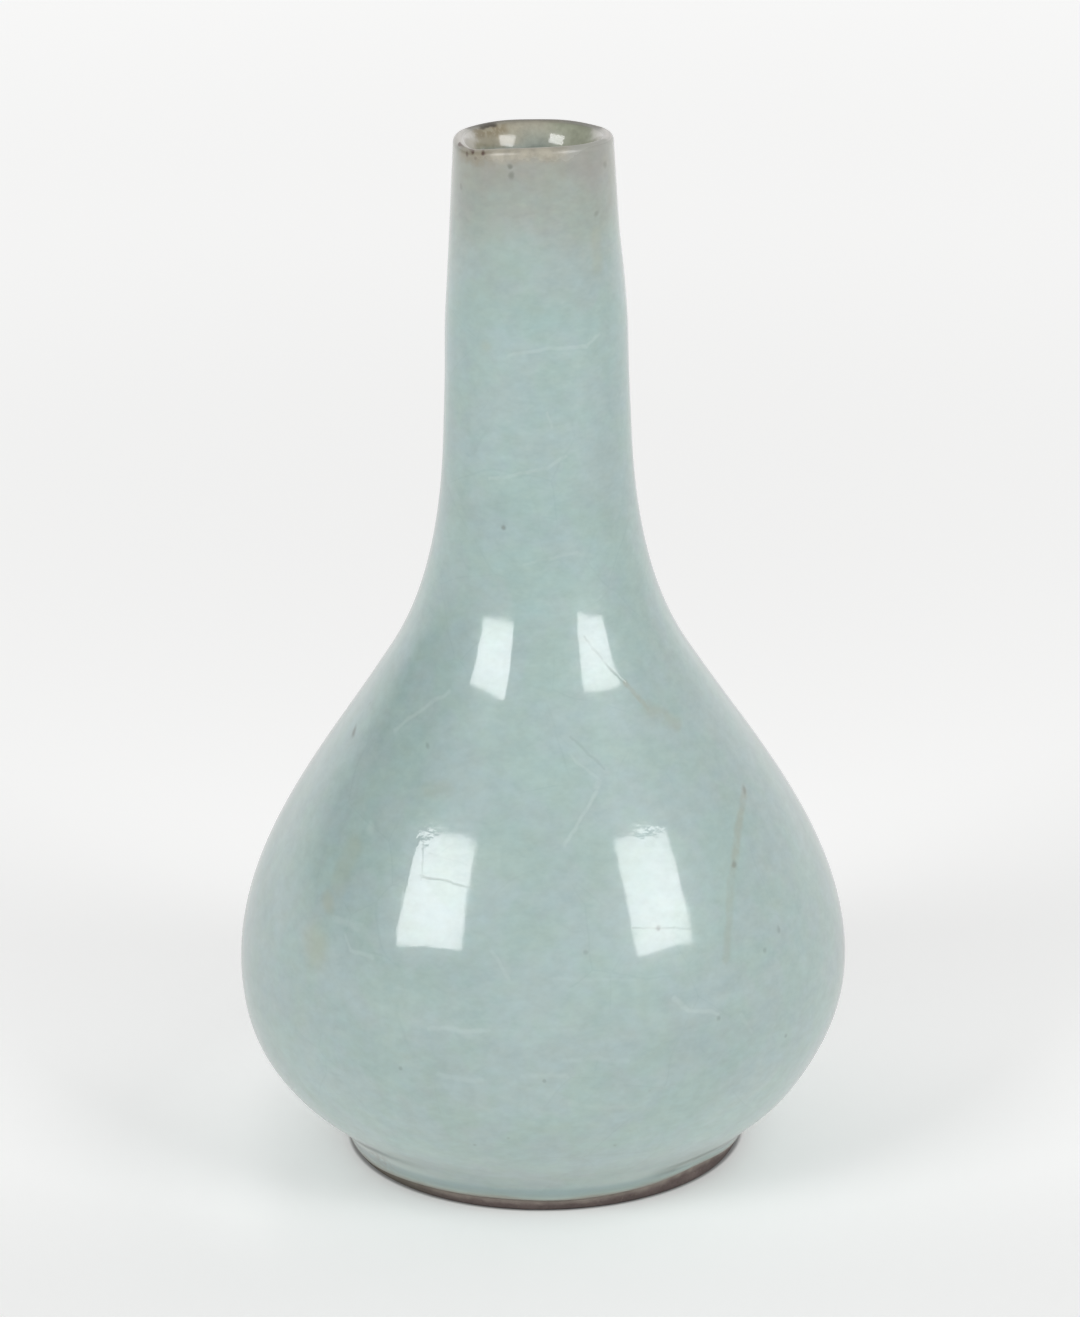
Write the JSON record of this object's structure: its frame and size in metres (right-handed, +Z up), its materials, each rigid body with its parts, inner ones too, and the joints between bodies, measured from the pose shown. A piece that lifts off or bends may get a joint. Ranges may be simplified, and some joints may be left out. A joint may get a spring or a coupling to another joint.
{
  "type": "bottle vase",
  "caption": "Pear-shaped celadon bottle vase with a tall straight neck, small round mouth and low bare foot ring, thrown in sections and glazed inside and out.",
  "frame": {"origin": "centre of the foot ring, on the surface the vase stands on", "axes": "+Z up along the axis of revolution, from the foot to the mouth; the vase looks alike all the way round"},
  "size_m": [0.1358, 0.1358, 0.23],
  "materials": {
    "foot_clay": "iron-brown fired stoneware, bare and matt, lightly worn at the rim it stands on",
    "slip": "fired luting slip, matt, sealed inside the wall",
    "body_clay": "grey-buff fired stoneware, matt, hidden under the glaze",
    "celadon_glaze": "thick blue-green celadon, glossy with a faint satin ripple, fine mottling and a faint wide crackle",
    "mouth_glaze": "thin grey-brown glaze drained off the lip, with small iron spots",
    "inner_glaze": "olive-grey celadon, glossy",
    "base_glaze": "blue-green celadon, glossy, pooled in the corner of the recess"
  },
  "bodies": {
    "root": {"foot_ring": "foot_clay", "foot_slip_joint": "slip", "lower_body": "body_clay", "girth_slip_joint": "slip", "upper_body": "body_clay", "neck_slip_joint": "slip", "neck": "body_clay", "outer_glaze": "celadon_glaze", "mouth_glaze": "mouth_glaze", "inner_glaze": "inner_glaze", "base_glaze": "base_glaze"}
  },
  "joints": []
}
